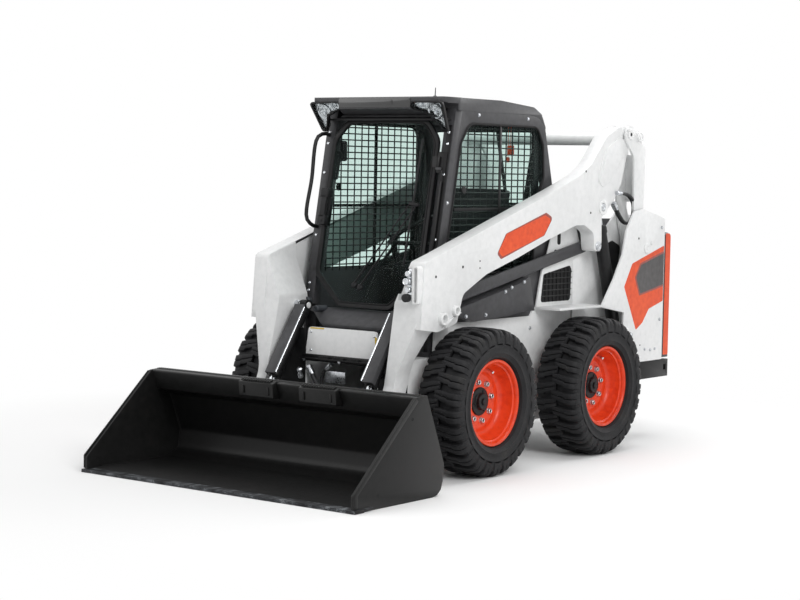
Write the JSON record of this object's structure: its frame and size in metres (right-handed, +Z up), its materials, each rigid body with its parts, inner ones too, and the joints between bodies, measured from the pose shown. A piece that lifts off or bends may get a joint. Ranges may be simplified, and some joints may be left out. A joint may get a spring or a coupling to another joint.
{
  "type": "skid steer loader",
  "caption": "Compact skid steer loader with closed cab, four wheels, vertical-path lift arms, link plates, cylinders, opening door and tailgate, and a wide dirt bucket.",
  "frame": {"origin": "on the ground, at the middle of the overall length and width", "axes": "-Y is forwards, +X is the machine's left side, +Z up"},
  "size_m": [1.759, 3.344, 1.926],
  "materials": {
    "white_paint": "gloss paint",
    "grey_paint": "satin paint",
    "black_paint": "satin paint",
    "tyre_rubber": "matt rubber",
    "orange_paint": "gloss paint",
    "bright_steel": "polished",
    "tinted_glass": "tinted",
    "lamp_lens": "clear",
    "black_vinyl": "grained vinyl",
    "cast_iron": "painted casting"
  },
  "bodies": {
    "chassis": {"mainframe": "white_paint", "left_upright": "white_paint", "right_upright": "white_paint", "left_side_panel": "grey_paint", "right_side_panel": "grey_paint", "engine_cover": "grey_paint", "cab_floor": "grey_paint", "left_cab_side": "grey_paint", "right_cab_side": "grey_paint", "cab_roof": "grey_paint", "cab_rear_panel": "grey_paint", "rear_bumper": "black_paint", "grab_handle": "black_paint", "left_side_screen": "white_paint", "right_side_screen": "white_paint", "left_side_window": "tinted_glass", "right_side_window": "tinted_glass", "rear_window": "tinted_glass", "left_work_light": "lamp_lens", "right_work_light": "lamp_lens", "seat_base": "black_vinyl", "seat_cushion": "black_vinyl", "seat_backrest": "black_vinyl", "engine": "cast_iron"},
    "door": {"door_frame": "black_paint", "door_glass": "tinted_glass"},
    "tailgate": {"tailgate": "grey_paint"},
    "seat_bar": {"seat_bar": "black_paint"},
    "front_left_wheel": {"front_left_tyre": "tyre_rubber", "front_left_rim": "orange_paint"},
    "front_right_wheel": {"front_right_tyre": "tyre_rubber", "front_right_rim": "orange_paint"},
    "rear_left_wheel": {"rear_left_tyre": "tyre_rubber", "rear_left_rim": "orange_paint"},
    "rear_right_wheel": {"rear_right_tyre": "tyre_rubber", "rear_right_rim": "orange_paint"},
    "rear_links": {"left_rear_link": "white_paint", "right_rear_link": "white_paint"},
    "lift_arms": {"left_lift_arm": "white_paint", "right_lift_arm": "white_paint", "rear_cross_tube": "white_paint", "arm_crossmember": "white_paint", "hydraulic_couplers": "bright_steel"},
    "control_links": {"left_control_link": "grey_paint", "right_control_link": "grey_paint"},
    "lift_cylinder_tubes": {"left_lift_cylinder_tube": "black_paint", "right_lift_cylinder_tube": "black_paint"},
    "lift_cylinder_rods": {"left_lift_cylinder_rod": "bright_steel", "right_lift_cylinder_rod": "bright_steel"},
    "tilt_cylinder_tubes": {"left_tilt_cylinder_tube": "black_paint", "right_tilt_cylinder_tube": "black_paint"},
    "tilt_cylinder_rods": {"left_tilt_cylinder_rod": "bright_steel", "right_tilt_cylinder_rod": "bright_steel"},
    "tool": {"tool_carrier": "black_paint", "bucket": "black_paint"}
  },
  "joints": [
    {"name": "front_left_wheel_spin", "type": "hinge", "parent": "chassis", "child": "front_left_wheel", "pos_m": [0.625, -0.345, 0.378], "axis": [1, 0, 0], "continuous": true},
    {"name": "front_right_wheel_spin", "type": "hinge", "parent": "chassis", "child": "front_right_wheel", "pos_m": [-0.625, -0.345, 0.378], "axis": [1, 0, 0], "continuous": true},
    {"name": "rear_left_wheel_spin", "type": "hinge", "parent": "chassis", "child": "rear_left_wheel", "pos_m": [0.625, 0.737, 0.378], "axis": [1, 0, 0], "continuous": true},
    {"name": "rear_right_wheel_spin", "type": "hinge", "parent": "chassis", "child": "rear_right_wheel", "pos_m": [-0.625, 0.737, 0.378], "axis": [1, 0, 0], "continuous": true},
    {"name": "rear_link_swing", "type": "hinge", "parent": "chassis", "child": "rear_links", "pos_m": [0, 1.386, 1.12], "axis": [-1, 0, 0], "range_deg": [0, 5.84]},
    {"name": "lift", "type": "hinge", "parent": "rear_links", "child": "lift_arms", "pos_m": [0, 1.196, 1.775], "axis": [-1, 0, 0], "range_deg": [0, 60.1]},
    {"name": "control_link_swing", "type": "hinge", "parent": "chassis", "child": "control_links", "pos_m": [0, -0.424, 0.88], "axis": [-1, 0, 0], "range_deg": [-31.79, 0]},
    {"name": "lift_cylinder_swing", "type": "hinge", "parent": "chassis", "child": "lift_cylinder_tubes", "pos_m": [0, 1.181, 0.64], "axis": [-1, 0, 0], "range_deg": [-0.0915, 0]},
    {"name": "lift_rod_slide", "type": "slide", "parent": "lift_cylinder_tubes", "child": "lift_cylinder_rods", "axis": [0, -0.3111, 0.9504], "range_m": [0, 0.5167]},
    {"name": "tool_tilt", "type": "hinge", "parent": "lift_arms", "child": "tool", "pos_m": [0, -0.864, 0.19], "axis": [1, 0, 0], "range_deg": [-27, 108]},
    {"name": "tilt_cylinder_swing", "type": "hinge", "parent": "lift_arms", "child": "tilt_cylinder_tubes", "pos_m": [0, -0.604, 0.828], "axis": [1, 0, 0], "range_deg": [-1.33, 5.27]},
    {"name": "tilt_rod_slide", "type": "slide", "parent": "tilt_cylinder_tubes", "child": "tilt_cylinder_rods", "axis": [0, -0.5668, -0.8239], "range_m": [-0.0759, 0.3023]},
    {"name": "cab_door", "type": "hinge", "parent": "chassis", "child": "door", "pos_m": [0.364, -0.5216, 0.82637], "axis": [0, 0.1822, 0.9833], "range_deg": [0, 90]},
    {"name": "tailgate_swing", "type": "hinge", "parent": "chassis", "child": "tailgate", "pos_m": [-0.608, 1.633, 0], "axis": [0, 0, 1], "range_deg": [0, 100]},
    {"name": "seat_bar_swing", "type": "hinge", "parent": "chassis", "child": "seat_bar", "pos_m": [0, 0.496, 1.29], "axis": [-1, 0, 0], "range_deg": [0, 70]}
  ],
  "couplings": [
    {"joint": "rear_link_swing", "follows": "lift", "ratio": 0.096806},
    {"joint": "control_link_swing", "follows": "lift", "ratio": -0.52865},
    {"joint": "lift_cylinder_swing", "follows": "lift", "ratio": -0.00119},
    {"joint": "lift_rod_slide", "follows": "lift", "m_per_rad": 0.49211},
    {"joint": "tilt_cylinder_swing", "follows": "tool_tilt", "ratio": 0.048584},
    {"joint": "tilt_rod_slide", "follows": "tool_tilt", "m_per_rad": 0.1601}
  ]
}
